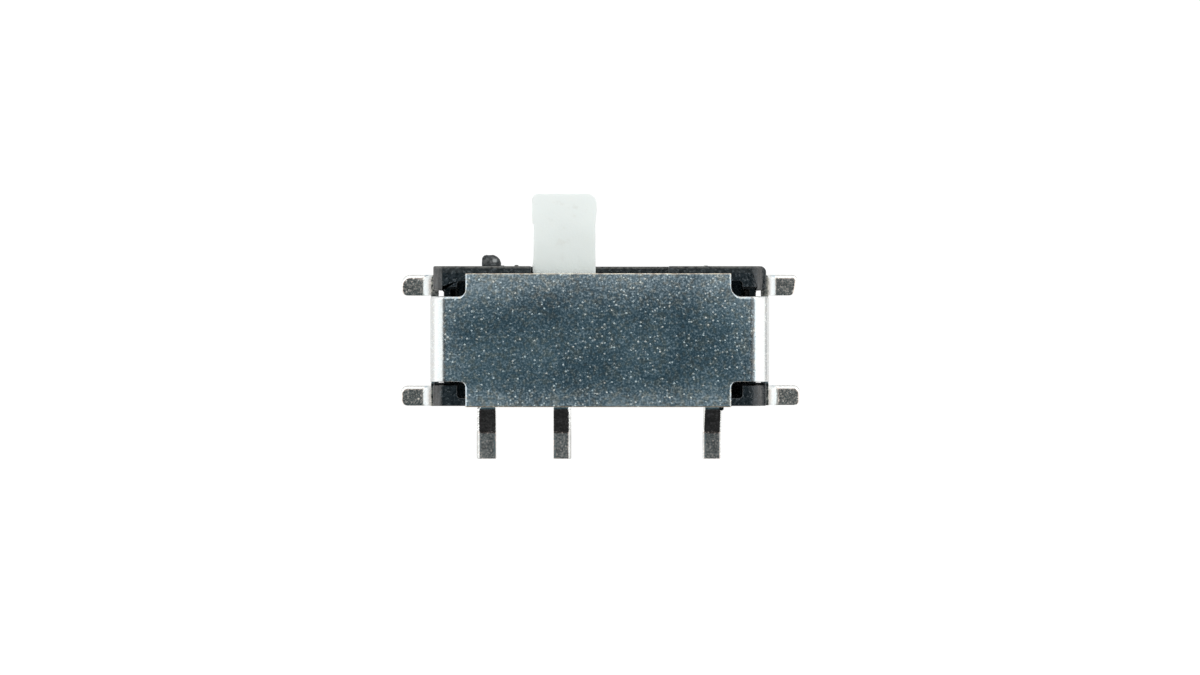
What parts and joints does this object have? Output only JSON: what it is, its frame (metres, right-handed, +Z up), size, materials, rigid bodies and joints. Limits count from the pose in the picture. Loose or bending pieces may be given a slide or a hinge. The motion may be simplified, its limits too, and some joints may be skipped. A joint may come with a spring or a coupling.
{
  "type": "slide switch",
  "caption": "Surface-mount slide switch with a side-acting white lever, black base, folded metal cover with solder lugs and gull-wing terminals.",
  "frame": {"origin": "on the board plane under the middle of the cover, on the base's underside", "axes": "+X along the row of terminals, +Y the way the lever sticks out, +Z up from the board"},
  "size_m": [0.008, 0.0053, 0.0019],
  "materials": {
    "base_plastic": "black heat-resistant moulding, fine matt grain",
    "terminal_plate": "tin-plated stamped strip",
    "clip_bronze": "spring bronze, bare",
    "slider_plastic": "natural white, slightly milky",
    "cover_plate": "tin-plated sheet, fine speckle from rolling and plating"
  },
  "bodies": {
    "housing": {"base": "base_plastic", "cover": "cover_plate", "terminal_left": "terminal_plate", "terminal_common": "terminal_plate", "terminal_right": "terminal_plate"},
    "slider": {"slider": "slider_plastic", "contact_clip": "clip_bronze"}
  },
  "joints": [
    {"name": "lever_slide", "type": "slide", "parent": "housing", "child": "slider", "axis": [1, 0, 0], "range_m": [0, 0.0014], "deforming": ["contact_clip"]}
  ]
}
